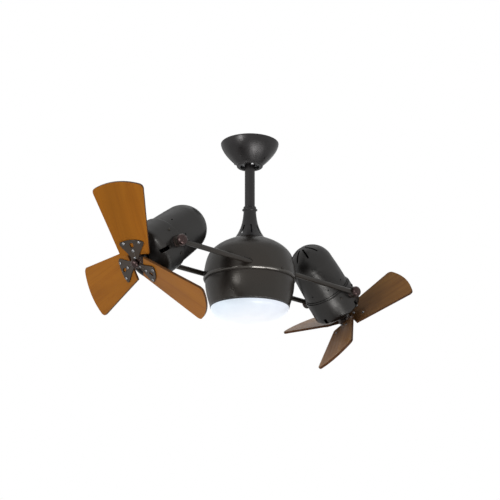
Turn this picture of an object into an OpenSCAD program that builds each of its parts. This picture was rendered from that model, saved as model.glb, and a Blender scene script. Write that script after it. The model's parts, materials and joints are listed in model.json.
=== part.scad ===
// Twin head ceiling fan: a lamp globe under a downrod carries two parallel bars,
// and each end of the bars carries a tilting motor head with a three blade fan.
// Origin: the ceiling face on the downrod's axis. +Z up, the bars run along X.

/* [Canopy and downrod] */
// Radius of the canopy's rim against the ceiling
canopy_rim_r = 73.5; // [72:0.5:78]
// Height of the canopy from the ceiling to the bottom of its lip
canopy_h = 62; // [61:0.5:64]
// Outer diameter of the downrod
rod_d = 25.4; // [25:0.2:25.6]
// Depth below the ceiling where the flared cover starts on the rod
cover_top = 169; // [166:1:172]
// Depth below the ceiling where the flared cover meets the globe
cover_foot = 249.5; // [249:0.5:250]
// Number of slots round the flared cover
cover_slots = 8; // [6:1:10]

/* [Globe] */
// Largest radius of the globe's upper dome, at the seam
dome_r = 114.2; // [113:0.2:118]
// Depth below the ceiling of the seam between dome and lower shell
seam_z = 361; // [360:0.5:362]
// Depth below the ceiling of the lower shell's bottom edge
shell_foot = 429.5; // [429:0.5:430]
// Radius of the sphere that the glass bowl is a cap of
glass_r = 117.5; // [115:0.5:120]
// Wall of the spun metal shells
shell_wall = 1.5; // [1.2:0.1:1.8]

/* [Bars] */
// Diameter of the two bars
bar_d = 12.7; // [12:0.1:13]
// Distance of each bar's centre line from the middle plane
bar_y = 77.2; // [77:0.1:79]
// Distance of each tilt pivot from the downrod's axis
pivot_x = 304.5; // [300:0.5:320]
// Depth of the bars and pivots below the ceiling
bar_depth = 344; // [343:0.5:345]

/* [Motor heads] */
// Radius of the motor can at the pivots
can_r = 64.8; // [64:0.1:65]
// Radius of the rounded rear of the can
can_rear_r = 57.4; // [56:0.2:58]
// Length from the pivot to the centre of the rounded rear
can_rear_z = 101; // [98:1:104]
// Tilt of the left head below level, as photographed
left_tilt = 39; // [0:0.1:60]
// Tilt of the right head below level, as photographed
right_tilt = 44; // [0:0.1:60]
// Number of vent slots in the rounded rear, and of small holes behind the seam
rear_vents = 8; // [6:1:10]

/* [Fans] */
// Radius of the fan at the middle of a blade's tip
fan_r = 197; // [190:1:198]
// Radius where a blade's square root starts
root_r = 19; // [18.5:0.5:22]
// Half the width of a blade at its root
root_half_w = 36; // [30:1:37]
// Half the width of a blade at its tip corners
tip_half_w = 62; // [50:1:63]
// Thickness of a blade
blade_t = 6; // [5:0.5:7]
// Pitch of the blades
blade_pitch = 17.8; // [12:0.2:20]
// Distance of the blades' middle plane from the pivot
fan_z = 74.6; // [74:0.2:78]
// Turn of the left fan, as photographed
left_spin = -17.6; // [-180:0.1:180]
// Turn of the right fan, as photographed
right_spin = 38.9; // [-180:0.1:180]

/* [Hidden] */
$fn = 96;

bronze = [0.22, 0.20, 0.19];
steel = [0.62, 0.63, 0.65];
wood = [0.66, 0.42, 0.16];
overlap = 0.4;

// Downrod
rod_r = rod_d / 2;
rod_bore_r = rod_r - 2.5;
rod_top = -26;
rod_end = -248;
pin_r = 3;
pin_hole_r = pin_r + 0.1;

// Hanger ball and its bracket
ball_r = 21;
ball_z = -40;
bracket_t = 2.5;
bracket_half_l = 55;
bracket_half_w = 20;
slot_half_spacing = 44.5;
slot_r = 2.6;
slot_half_run = 4;
leg_x = 26.5;
leg_half_w = 11;
seat_z = -56;
seat_h = 6;
seat_r = 29;
wire_hole_r = 5.5;

// Canopy
canopy_wall = 1.2;
canopy_neck_r = 33;
canopy_open_r = 24;
canopy_lip = 6;

// Rod pins, spindle and bearings
rod_pin_z = -237;
socket_r = 18.5;
socket_top = -222;
socket_foot = -262;
spindle_r = 12;
spindle_foot = -366;
spindle_bore_r = 7;
running = 0.04;
press = 0.02;
head_press = 0.04;
bearing_r = 22;
bearing_w = 9;
upper_bearing_z = -316;
lower_bearing_z = -349;
ring_r = 16.5;
ring_w = 4;
ring_pitch = 8;
ring_z = -277;
ring_count = 3;

// Bars
bar_r = bar_d / 2;
bar_z = -bar_depth;
eye_r = 13.8;
eye_t = 9;
bush_r = 7;
bolt_r = 4;
saddle_x = 45;
carrier_plate_z = -358;
carrier_plate_t = 6;

// Motor head, along its own axis from the pivot
seam_local = -21;
rear_end_r = can_r - 4.5;
front_r = can_r;
shoulder_z = 33;
face_z = 46;
face_r = 46;
can_wall = 2.2;
boss_r = 14;
boss_in = 56;
boss_reach = bar_y - eye_t / 2 - 3.4;
washer_t = 3;
cap_r = 13.6;
cap_h = 12.5;
shaft_r = 4;
head_bearing_r = 11;
head_bearing_w = 7;
front_bearing_z = 33;
rear_bearing_z = -98;
stack_z = -62;
stack_h = 34;
stator_r = 46;
stator_bore_r = 26.5;
rotor_r = 26;
rear_screw_z = -6;
housing_screw_angles = [62, 118, 242, 298];

// Fans
tip_arc_r = 145;
// How far inside the tip's half width the round corner has its centre
tip_corner_in = 10;
tip_round_r = 9;
hub_r = 17;
hub_t = 11;
hub_front = 76;
iron_t = 3.5;
iron_end_r = 57;
iron_half_w = 29.5;
iron_neck_r = 25;
iron_tail_r = 9.2;
hub_screw_x = 13;
blade_screws_at = [[50, 19], [50, -19], [31, 0]];

// ---------- shared shapes ----------

// Points of a cubic curve from a to d
function curve(a, b, c, d, n) = [
    for (i = [0:n])
        let (t = i / n, s = 1 - t)
            s^3 * a + 3 * s^2 * t * b + 3 * s * t^2 * c + t^3 * d
];

// The same curve moved sideways by a wall's thickness
function inset(p, w) = [
    for (i = [0:len(p) - 1])
        let (a = p[max(i - 1, 0)], b = p[min(i + 1, len(p) - 1)], t = (b - a) / norm(b - a))
            p[i] + w * [t[1], -t[0]]
];

function backwards(p) = [for (i = [len(p) - 1:-1:0]) p[i]];

// A revolved wall between a curve and its inset
module spun_wall(p, w) {
    rotate_extrude()
        polygon(concat(p, backwards(inset(p, w))));
}

module tube(r, bore, z0, z1) {
    translate([0, 0, z0])
        difference() {
            cylinder(r = r, h = z1 - z0);
            translate([0, 0, -1])
                cylinder(r = bore, h = z1 - z0 + 2);
        }
}

// A cylinder along Y from y0 to y1
module along_y(r, y0, y1) {
    translate([0, y0, 0])
        rotate([-90, 0, 0])
            cylinder(r = r, h = y1 - y0);
}

// A cylinder along X from x0 to x1
module along_x(r, x0, x1) {
    translate([x0, 0, 0])
        rotate([0, 90, 0])
            cylinder(r = r, h = x1 - x0);
}

// A pan head screw: the head starts at z = 0 and the shank goes down
module pan_screw(head_r, head_h, shank_r, shank_l) {
    rotate_extrude($fn = 48) {
        polygon([
            [0, -shank_l], [shank_r, -shank_l], [shank_r, 0], [head_r, 0],
            [head_r, head_h * 0.45], [head_r * 0.72, head_h * 0.85], [head_r * 0.3, head_h], [0, head_h]
        ]);
    }
}

// A ball bearing as two rings and its balls
module ball_bearing(r, bore, w) {
    race_r = (r + bore) / 2;
    ball = (r - bore) * 0.24;
    land = (r - bore) * 0.17;
    difference() {
        tube(r, race_r + land, -w / 2, w / 2);
        rotate_extrude()
            translate([race_r, 0])
                circle(r = ball + 0.1, $fn = 32);
    }
    difference() {
        tube(race_r - land, bore, -w / 2, w / 2);
        rotate_extrude()
            translate([race_r, 0])
                circle(r = ball + 0.1, $fn = 32);
    }
    for (a = [0:45:315])
        rotate([0, 0, a])
            translate([race_r, 0, 0])
                sphere(r = ball, $fn = 32);
}

// ---------- ceiling fixing and downrod ----------

canopy_curve = curve(
    [canopy_rim_r, 0],
    [canopy_rim_r - 1.5, -17],
    [50.5, -41],
    [canopy_neck_r, canopy_lip - canopy_h],
    14);

// Where the canopy screws go through the lower wall
canopy_screw_z = -46.2;
canopy_screw_tilt = 45;
canopy_screw_r = 44.15;
canopy_screw_angles = [15, 105, 195, 285];

module at_canopy_screws() {
    for (a = canopy_screw_angles)
        rotate([0, 0, a])
            translate([canopy_screw_r, 0, canopy_screw_z])
                rotate([0, 180 - canopy_screw_tilt, 0])
                    children();
}

module canopy() {
    color(bronze)
        difference() {
            union() {
                spun_wall(canopy_curve, canopy_wall);
                tube(canopy_neck_r, canopy_neck_r - 1.6, -canopy_h + 2.4, canopy_lip - canopy_h + 0.6);
                tube(canopy_neck_r - 2.6, canopy_open_r, -canopy_h, -canopy_h + 1.6);
                rotate_extrude()
                    translate([canopy_neck_r - 2.4, -canopy_h + 2.6])
                        circle(r = 2.6, $fn = 32);
            }
            at_canopy_screws()
                translate([0, 0, -8])
                    cylinder(r = 1.9, h = 16, $fn = 32);
            cylinder(r = canopy_rim_r + 5, h = 5);
        }
}

module canopy_screws() {
    color(bronze)
        at_canopy_screws()
            translate([0, 0, 0.15])
                pan_screw(3.6, 2.2, 1.8, 7);
}

module slot_cut(x) {
    for (s = [-1, 1])
        translate([x + s * slot_half_run, 0, -bracket_t - 1])
            cylinder(r = slot_r, h = bracket_t + 2, $fn = 32);
    translate([x - slot_half_run, -slot_r, -bracket_t - 1])
        cube([2 * slot_half_run, 2 * slot_r, bracket_t + 2]);
}

// Top plate with two slots, two legs and the split ring that the ball sits in
module hanger_bracket() {
    wing_half_l = 27;
    wing_y = 47;
    color(steel)
        difference() {
            union() {
                translate([-bracket_half_l, -bracket_half_w, -bracket_t])
                    cube([2 * bracket_half_l, 2 * bracket_half_w, bracket_t]);
                translate([-wing_half_l, bracket_half_w - 1, -bracket_t])
                    cube([2 * wing_half_l, wing_y - bracket_half_w + 1, bracket_t]);
                for (s = [-1, 1])
                    translate([s * leg_x - bracket_t / 2, -leg_half_w, seat_z + 1])
                        cube([bracket_t, 2 * leg_half_w, -seat_z - 2]);
                translate([0, 0, seat_z])
                    cylinder(r = seat_r, h = seat_h);
            }
            translate([0, 0, ball_z])
                sphere(r = ball_r + 0.1);
            translate([0, 0, seat_z - 1])
                cylinder(r = rod_r + 1.5, h = seat_h + 2);
            translate([-rod_r - 1.2, -seat_r - 1, seat_z - 1])
                cube([2 * rod_r + 2.4, seat_r + 1, seat_h + 2]);
            slot_cut(slot_half_spacing);
            slot_cut(-slot_half_spacing);
            translate([0, -12, -bracket_t - 1])
                cylinder(r = wire_hole_r, h = bracket_t + 2);
        }
}

// Remote control receiver, screwed under the bracket's wing
module receiver_box() {
    box_l = 50;
    box_w = 22;
    box_h = 15;
    corner = 3;
    color([0.12, 0.12, 0.13])
        translate([0, 34, -bracket_t - box_h])
            linear_extrude(box_h)
                union() {
                    square([box_l - 2 * corner, box_w], center = true);
                    square([box_l, box_w - 2 * corner], center = true);
                    for (x = [-1, 1], y = [-1, 1])
                        translate([x * (box_l / 2 - corner), y * (box_w / 2 - corner)])
                            circle(r = corner, $fn = 24);
                }
}

module hanger_ball() {
    color([0.15, 0.15, 0.16])
        difference() {
            translate([0, 0, ball_z])
                sphere(r = ball_r);
            translate([0, 0, ball_z - ball_r - 1])
                cylinder(r = rod_r + 0.05, h = 2 * ball_r + 2);
            translate([0, 0, ball_z])
                along_x(pin_hole_r, -ball_r - 1, ball_r + 1);
        }
}

module ball_pin() {
    color(steel)
        translate([0, 0, ball_z])
            along_x(pin_r, -19, 19);
}

module downrod() {
    color(bronze)
        difference() {
            tube(rod_r, rod_bore_r, rod_end, rod_top);
            translate([0, 0, ball_z])
                along_x(pin_hole_r, -rod_r - 1, rod_r + 1);
            translate([0, 0, rod_pin_z])
                along_x(pin_hole_r, -rod_r - 1, rod_r + 1);
        }
}

module rod_pin() {
    color(steel)
        translate([0, 0, rod_pin_z]) {
            along_x(pin_r, -20, 20);
            along_x(pin_r + 1.6, 19, 20.8);
        }
}

cover_curve = curve(
    [15.6, -cover_top - 13],
    [18, -cover_top - 45],
    [23, -cover_top - 61],
    [39, -cover_foot - 4.5],
    14);
cover_screw_z = -cover_top - 8;
bead_r = 7;
bead_reach = 17.3;

// Flared cover over the socket, with a bead and tall slots round its skirt.
// Its foot follows the dome's crown
module yoke_cover() {
    wall = 2;
    slot_top = -cover_top - 52.5;
    slot_foot = -cover_top - 77;
    slot_w = 4.4;
    dome_gap = 0.5;
    under_dome = [[dome_shoulder[0], -seam_z], [0, -seam_z], [0, dome_crown[0][1]]];
    color(bronze)
        difference() {
            union() {
                spun_wall(cover_curve, wall);
                tube(15.6, rod_r + 0.6, -cover_top - 14, -cover_top - 1.4);
                rotate_extrude()
                    translate([bead_reach - bead_r, cover_screw_z])
                        circle(r = bead_r, $fn = 32);
                rotate_extrude()
                    translate([14.7, -cover_top - 1.5])
                        circle(r = 1.3, $fn = 32);
            }
            for (i = [0:cover_slots - 1])
                rotate([0, 0, 52 + i * 360 / cover_slots])
                    translate([10, -slot_w / 2, slot_foot])
                        cube([30, slot_w, slot_top - slot_foot]);
            translate([0, 0, -cover_top - 16])
                cylinder(r = rod_r + 0.6, h = 16);
            translate([0, 0, dome_gap])
                rotate_extrude()
                    polygon(concat(dome_crown, under_dome));
            for (a = [-45, 135])
                rotate([0, 0, a])
                    translate([0, 0, cover_screw_z])
                        along_x(2.1, rod_r - 1, 22);
        }
}

module cover_screws() {
    color(steel)
        for (a = [-45, 135])
            rotate([0, 0, a])
                translate([0, 0, cover_screw_z]) {
                    along_x(2, rod_r + 0.05, bead_reach + 0.2);
                    along_x(2.7, bead_reach + 0.15, bead_reach + 1.6);
                }
}

// Fixed spindle: socket for the rod, journal for the bearings, bored for wires
module spindle() {
    color(steel)
        difference() {
            union() {
                translate([0, 0, socket_foot])
                    cylinder(r = socket_r, h = socket_top - socket_foot);
                translate([0, 0, spindle_foot])
                    cylinder(r = spindle_r, h = socket_foot - spindle_foot + 1);
            }
            translate([0, 0, rod_end])
                cylinder(r = rod_r + 0.05, h = socket_top - rod_end + 1);
            translate([0, 0, spindle_foot - 1])
                cylinder(r = spindle_bore_r, h = rod_end - spindle_foot + 2);
            translate([0, 0, rod_pin_z])
                along_x(pin_hole_r, -socket_r - 1, socket_r + 1);
        }
}

// Insulating sleeve with raised copper rings
module slip_rings() {
    color([0.72, 0.42, 0.24]) {
        tube(14.5, spindle_r + 0.05, ring_z - (ring_count - 1) * ring_pitch - 7, ring_z + 7);
        for (i = [0:ring_count - 1])
            translate([0, 0, ring_z - i * ring_pitch])
                tube(ring_r, 14.2, -ring_w / 2, ring_w / 2);
    }
}

module spindle_nut() {
    bearing_foot = lower_bearing_z - bearing_w / 2;
    color(steel)
        difference() {
            union() {
                translate([0, 0, bearing_foot - 9.2])
                    cylinder(r = 19, h = 7, $fn = 6);
                tube(16, spindle_r, bearing_foot - 2.4, bearing_foot - 0.2);
            }
            translate([0, 0, spindle_foot - 1])
                cylinder(r = spindle_r + 0.03, h = 20);
        }
}

// ---------- turning globe ----------

// Cast hub on two bearings, with an H of beams that holds both bars in saddles
module bar_carrier() {
    hub_top = upper_bearing_z + bearing_w / 2 + 1.5;
    hub_foot = carrier_plate_z;
    hub_outer = 29;
    beam_half_w = 7;
    beam_y = bar_y + 9;
    saddle_half_l = 10;
    color(steel)
        difference() {
            union() {
                translate([0, 0, hub_foot])
                    cylinder(r = hub_outer, h = hub_top - hub_foot);
                for (s = [-1, 1])
                    translate([s * saddle_x - beam_half_w, -beam_y, carrier_plate_z])
                        cube([2 * beam_half_w, 2 * beam_y, carrier_plate_t]);
                translate([-saddle_x, -16, carrier_plate_z])
                    cube([2 * saddle_x, 32, carrier_plate_t]);
                for (a = [0, 180])
                    rotate([0, 0, a])
                        translate([hub_outer - 2, 2, carrier_plate_z])
                            rotate([90, 0, 0])
                                linear_extrude(4)
                                    polygon([[0, 0], [15, 0], [15, 8], [0, 30]]);
                for (x = [-1, 1], y = [-1, 1])
                    translate([x * saddle_x - saddle_half_l, y * bar_y - 9, carrier_plate_z])
                        cube([2 * saddle_half_l, 18, bar_z - carrier_plate_z + 9]);
                for (a = seam_screw_angles)
                    rotate([0, 0, a]) {
                        translate([hub_outer - 2, -6, carrier_plate_z])
                            cube([shell_top_r - 1.3 - hub_outer + 2, 12, 3]);
                        translate([band_r - 4.3, -6, carrier_plate_z])
                            cube([2.3, 12, 9]);
                    }
            }
            for (a = seam_screw_angles)
                rotate([0, 0, a])
                    translate([0, 0, seam_screw_z])
                        along_x(1.6, band_r - 9, band_r + 4);
            translate([0, 0, hub_foot - 1])
                cylinder(r = 17, h = hub_top - hub_foot + 2);
            translate([0, 0, upper_bearing_z - bearing_w / 2])
                cylinder(r = bearing_r + press, h = 20);
            translate([0, 0, lower_bearing_z + bearing_w / 2 - 30])
                cylinder(r = bearing_r + press, h = 30);
            for (y = [-1, 1])
                translate([0, y * bar_y, bar_z])
                    along_x(bar_r + 0.05, -70, 70);
            for (x = [-1, 1], y = [-1, 1])
                translate([x * saddle_x, y * bar_y, bar_z])
                    cylinder(r = 2.05, h = 20, $fn = 32);
            at_tray_posts()
                translate([0, 0, carrier_plate_z - 1])
                    cylinder(r = 2.1, h = 10, $fn = 32);
        }
}

module carrier_bearings() {
    color(steel)
        for (z = [upper_bearing_z, lower_bearing_z])
            translate([0, 0, z])
                ball_bearing(bearing_r, spindle_r + running, bearing_w);
}

// Carbon brushes on an insulating post that stands on the hub
module brush_block() {
    post_z = upper_bearing_z + bearing_w / 2 + 1.5;
    top_z = ring_z + 6;
    color([0.25, 0.16, 0.12])
        difference() {
            union() {
                translate([21, -7, post_z])
                    cube([7, 14, top_z - post_z]);
                for (i = [0:ring_count - 1])
                    translate([0, 0, ring_z - i * ring_pitch])
                        along_x(1.8, ring_r + 0.1, 22);
            }
            translate([0, 0, post_z - 1])
                cylinder(r = ring_r + 0.1, h = 50);
        }
}

// Where the dome's flat crown turns down into its steep side
dome_shoulder = [102, -cover_foot - 47];
dome_crown = curve(
    [27, -cover_foot - 1.2],
    [52, -cover_foot - 8],
    [89, -cover_foot - 24],
    dome_shoulder,
    10);
dome_side = curve(
    dome_shoulder,
    [108.2, -cover_foot - 58.5],
    [dome_r - 1.4, -seam_z + 29],
    [dome_r, -seam_z + 9],
    6);
dome_curve = concat(dome_crown, [for (i = [1:6]) dome_side[i]], [[dome_r, -seam_z]]);
shell_top_r = dome_r - 4.4;
band_r = dome_r - shell_wall - 0.3;
shell_curve = curve(
    [shell_top_r, -seam_z + 1],
    [shell_top_r + 0.6, -seam_z - 24],
    [104.2, -seam_z - 44],
    [96.4, -shell_foot],
    12);
seam_screw_z = -seam_z + 8;
seam_screw_angles = [-91.6, 28.4, 148.4];

// Dome with the openings that the two bars pass through
module upper_dome() {
    color(bronze)
        difference() {
            spun_wall(dome_curve, shell_wall);
            for (y = [-1, 1])
                translate([0, y * bar_y, bar_z])
                    along_x(bar_r + 0.5, -130, 130);
            for (a = seam_screw_angles)
                rotate([0, 0, a])
                    translate([0, 0, seam_screw_z])
                        along_x(1.9, dome_r - 6, dome_r + 4);
        }
}

clip_angles = [30, 150, 270];
clip_z = -shell_foot + 19;

// Lower shell: an inner band that the dome slides over, notched for the bars,
// and a lip for the glass
module lower_shell() {
    band_h = 12;
    lip_r = 93.2;
    color(bronze)
        difference() {
            union() {
                spun_wall(shell_curve, shell_wall);
                tube(band_r, band_r - 1.6, -seam_z - 1, -seam_z + band_h);
                tube(band_r, shell_top_r - 1, -seam_z - 1.2, -seam_z + 1.2);
                tube(96.6, lip_r, -shell_foot - 0.4, -shell_foot + 1.2);
                for (a = clip_angles)
                    rotate([0, 0, a])
                        translate([0, 0, clip_z])
                            along_x(4, 95, 101.5);
            }
            for (y = [-1, 1])
                translate([0, y * bar_y, bar_z])
                    along_x(bar_r + 0.5, -130, 130);
            for (a = seam_screw_angles)
                rotate([0, 0, a])
                    translate([0, 0, seam_screw_z])
                        along_x(1.6, dome_r - 8, dome_r + 4);
            for (a = clip_angles)
                rotate([0, 0, a])
                    translate([0, 0, clip_z])
                        along_x(1.55, 90, 100);
        }
}

module shell_screws() {
    color(steel)
        for (a = seam_screw_angles)
            rotate([0, 0, a])
                translate([dome_r + 0.1, 0, seam_screw_z])
                    rotate([0, 90, 0])
                        pan_screw(3.2, 2, 1.55, 5);
}

// One bar: a straight rod with an eye at each end, flat beside the eye for cap and washer
module bar(side) {
    color(bronze)
        translate([0, side * bar_y, bar_z])
            difference() {
                union() {
                    along_x(bar_r, -pivot_x + 6, pivot_x - 6);
                    for (s = [-1, 1])
                        translate([s * pivot_x, 0, 0])
                            along_y(eye_r, -eye_t / 2, eye_t / 2);
                }
                for (s = [-1, 1])
                    translate([s * pivot_x, 0, 0]) {
                        along_y(bush_r, -bar_r - 1, bar_r + 1);
                        along_y(eye_r + 0.6, eye_t / 2, bar_r + 1);
                        along_y(eye_r + 0.6, -bar_r - 1, -eye_t / 2);
                    }
            }
}

module near_bar() {
    bar(-1);
}

module far_bar() {
    bar(1);
}

module bar_screws() {
    color(steel)
        for (x = [-1, 1], y = [-1, 1])
            translate([x * saddle_x, y * bar_y, bar_z + bar_r + 0.1])
                cylinder(r = 2, h = 4.5, $fn = 32);
}

module pivot_bushes() {
    color([0.55, 0.42, 0.2])
        for (x = [-1, 1], y = [-1, 1])
            translate([x * pivot_x, y * bar_y, bar_z])
                difference() {
                    along_y(bush_r, -eye_t / 2, eye_t / 2);
                    along_y(bolt_r + 0.06, -eye_t, eye_t);
                }
}

// ---------- lamp ----------

tray_z = -396;
tray_r = 88;

module at_tray_posts() {
    for (x = [-1, 1], y = [-1, 1])
        translate([x * saddle_x, y * 52, 0])
            children();
}

module lamp_tray() {
    color([0.9, 0.9, 0.9])
        difference() {
            rotate_extrude()
                polygon([
                    [0, tray_z], [tray_r - 10, tray_z], [tray_r, tray_z - 9], [tray_r + 2, tray_z - 9],
                    [tray_r + 2, tray_z - 7.6], [tray_r + 0.6, tray_z - 7.6],
                    [tray_r - 9.4, tray_z + 1.4], [0, tray_z + 1.4]
                ]);
            translate([0, 0, tray_z - 1])
                cylinder(r = 8, h = 4);
            at_tray_posts()
                translate([0, 0, tray_z - 1])
                    cylinder(r = 2.1, h = 4, $fn = 32);
        }
}

// Spacers that hang the tray from the carrier's beams
module tray_posts() {
    color(steel)
        at_tray_posts()
            translate([0, 0, tray_z + 1.4])
                cylinder(r = 4, h = carrier_plate_z - tray_z - 1.4, $fn = 6);
}

module led_board() {
    board_r = 60;
    rings = [[18, 6], [34, 12], [50, 18]];
    color([0.95, 0.95, 0.92])
        difference() {
            union() {
                translate([0, 0, tray_z - 1.6])
                    cylinder(r = board_r, h = 1.6);
                for (k = rings, i = [0:k[1] - 1])
                    rotate([0, 0, i * 360 / k[1]])
                        translate([k[0] - 1.4, -1.4, tray_z - 2.3])
                            cube([2.8, 2.8, 1]);
            }
            translate([0, 0, tray_z - 3])
                cylinder(r = 6, h = 4);
            at_tray_posts()
                translate([0, 0, tray_z - 3])
                    cylinder(r = 5, h = 4, $fn = 32);
        }
}

module led_driver() {
    color([0.85, 0.85, 0.83])
        translate([-34, 26, tray_z + 1.4]) {
            cube([68, 30, 18]);
            translate([-6, 10, 0])
                cube([80, 10, 1.6]);
        }
}

glass_z = -shell_foot + 1.2 + sqrt(glass_r^2 - 92.7^2);

// Shallow bowl: a cap of a sphere with a ground rim that rests on the lip
module glass_bowl() {
    glass_t = 3;
    rim_z = -shell_foot + 1.3;
    color([0.93, 0.96, 1.0])
        union() {
            difference() {
                translate([0, 0, glass_z])
                    sphere(r = glass_r);
                translate([0, 0, glass_z])
                    sphere(r = glass_r - glass_t);
                translate([0, 0, rim_z])
                    cylinder(r = 2 * glass_r, h = 2 * glass_r + 40);
            }
            tube(94.9, 89.5, rim_z - 0.02, rim_z + 2.4);
        }
}

// Spring clips that hold the glass down on its lip, with their screws
module glass_clips() {
    foot_z = -shell_foot + 3.8;
    color(steel)
        for (a = clip_angles)
            rotate([0, 0, a]) {
                difference() {
                    union() {
                        translate([93.2, -5, foot_z])
                            cube([1.6, 10, clip_z - foot_z + 6]);
                        translate([89.8, -5, foot_z])
                            cube([4.4, 10, 1.2]);
                    }
                    translate([0, 0, clip_z])
                        along_x(1.7, 90, 100);
                }
                translate([93, 0, clip_z])
                    rotate([0, -90, 0])
                        pan_screw(3, 1.8, 1.5, 6);
            }
}

// ---------- motor heads ----------

module at_left_pivot() {
    translate([-pivot_x, 0, bar_z])
        rotate([0, -90 - left_tilt, 0])
            children();
}

module at_right_pivot() {
    translate([pivot_x, 0, bar_z])
        rotate([0, 0, 180])
            rotate([0, -90 - right_tilt, 0])
                children();
}

rear_side = curve(
    [can_rear_r, -can_rear_z],
    [can_rear_r + 1.4, -can_rear_z + 22],
    [rear_end_r, seam_local - 34],
    [rear_end_r, seam_local],
    8);

// Bullet shaped rear shell with radial vents, small holes, ribs for the stator and
// a web for the bearing. Its spigot slides into the front shell.
module rear_housing() {
    vent_w = 4.6;
    vent_in = 13;
    vent_out = 41;
    web_z = rear_bearing_z - 1;
    spigot_r = front_r - can_wall - 0.15;
    color(bronze)
        difference() {
            union() {
                difference() {
                    translate([0, 0, -can_rear_z])
                        sphere(r = can_rear_r);
                    translate([0, 0, -can_rear_z])
                        sphere(r = can_rear_r - can_wall);
                    translate([0, 0, -can_rear_z + overlap])
                        cylinder(r = 2 * can_rear_r, h = 2 * can_rear_r);
                }
                spun_wall(backwards(rear_side), can_wall);
                tube(can_rear_r - 1, 13, web_z, web_z + 3);
                tube(15, head_bearing_r + head_press, web_z - 0.1, rear_bearing_z + head_bearing_w + 1);
                difference() {
                    tube(spigot_r, rear_end_r - 1.6, seam_local - 4, 2);
                    for (s = [-1, 1])
                        along_y(boss_r + 0.4, min(0, s * 2 * front_r), max(0, s * 2 * front_r));
                }
                difference() {
                    for (a = [22.5, 112.5, 202.5, 292.5])
                        rotate([0, 0, a])
                            translate([40, -2.5, web_z + 1])
                                cube([can_rear_r - can_wall - 39, 5, seam_local - web_z - 6]);
                    translate([0, 0, stack_z - 0.05])
                        cylinder(r = stator_r + 0.03, h = 80);
                }
            }
            for (i = [0:rear_vents - 1])
                rotate([0, 0, i * 360 / rear_vents]) {
                    translate([vent_in, -vent_w / 2, -can_rear_z - can_rear_r - 2])
                        cube([vent_out - vent_in, vent_w, 40]);
                    for (x = [vent_in, vent_out])
                        translate([x, 0, -can_rear_z - can_rear_r - 2])
                            cylinder(r = vent_w / 2, h = 40, $fn = 32);
                    translate([0, 0, seam_local - 22])
                        along_x(2, rear_end_r - 6, rear_end_r + 4);
                    translate([30, 0, web_z - 1])
                        cylinder(r = 8, h = 5);
                }
            for (a = housing_screw_angles)
                rotate([0, 0, a])
                    translate([0, 0, rear_screw_z])
                        along_x(1.8, front_r - 9, front_r + 4);
        }
}

// Front shell: sleeve, rounded shoulder with vents, flat face and two pivot bosses
module front_housing() {
    shoulder = curve(
        [front_r, shoulder_z],
        [front_r - 0.5, shoulder_z + 6],
        [front_r - 6, face_z - 1],
        [face_r, face_z],
        8);
    sleeve = [[front_r - 0.4, seam_local + 0.1], [front_r, seam_local + 3]];
    outer = concat(sleeve, shoulder, [[13.5, face_z]]);
    vent_w = 9.5;
    color(bronze)
        difference() {
            union() {
                spun_wall(backwards(outer), can_wall);
                tube(15.5, head_bearing_r + head_press, front_bearing_z - 3.5, face_z - 0.5);
                for (a = [45, 135, 225, 315])
                    rotate([0, 0, a])
                        translate([14, -1.5, front_bearing_z + 2])
                            cube([34, 3, face_z - front_bearing_z - 3.5]);
                for (s = [0, 180])
                    rotate([0, 0, s])
                        along_y(boss_r, boss_in, boss_reach);
            }
            for (a = [0, 90, 180, 270])
                rotate([0, 0, a]) {
                    translate([face_r - 2, -vent_w / 2, shoulder_z - 8])
                        cube([30, vent_w, 13]);
                    translate([face_r + 3, -vent_w / 2, shoulder_z + 4])
                        cube([30, vent_w, 14]);
                }
            translate([0, 0, seam_local - 1])
                cylinder(r = front_r - can_wall, h = 8);
            for (s = [0, 180])
                rotate([0, 0, s])
                    along_y(bolt_r - 0.2, boss_in - 2, boss_reach + 1);
            for (a = housing_screw_angles)
                rotate([0, 0, a])
                    translate([0, 0, rear_screw_z])
                        along_x(1.8, front_r - 9, front_r + 4);
        }
}

module housing_screws() {
    color(steel)
        for (a = housing_screw_angles)
            rotate([0, 0, a])
                translate([front_r, 0, rear_screw_z])
                    rotate([0, 90, 0])
                        pan_screw(3.6, 2, 1.75, 7.5);
}

// Laminated stator stack with its teeth
module stator() {
    teeth = 12;
    color([0.45, 0.45, 0.47])
        translate([0, 0, stack_z])
            linear_extrude(stack_h)
                difference() {
                    circle(r = stator_r);
                    circle(r = stator_bore_r);
                    for (i = [0:teeth - 1])
                        rotate([0, 0, i * 360 / teeth]) {
                            translate([stator_bore_r - 1, -1.5])
                                square([6, 3]);
                            translate([stator_bore_r + 3, -3.5])
                                square([9, 7]);
                        }
                }
}

// Copper end turns at both ends of the stack
module windings() {
    coils = 6;
    coil_r = 4.6;
    ring = stator_bore_r + 7.5;
    color([0.75, 0.4, 0.18])
        for (z = [stack_z - coil_r - 0.3, stack_z + stack_h + coil_r + 0.3], i = [0:coils - 1])
            translate([0, 0, z])
                rotate([0, 0, i * 360 / coils])
                    rotate_extrude(angle = 360 / coils - 7)
                        translate([ring, 0])
                            circle(r = coil_r, $fn = 24);
}

module head_bearings() {
    color(steel)
        for (z = [front_bearing_z, rear_bearing_z + head_bearing_w / 2 + 1])
            translate([0, 0, z])
                ball_bearing(head_bearing_r, shaft_r + 0.03, head_bearing_w);
}

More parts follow.
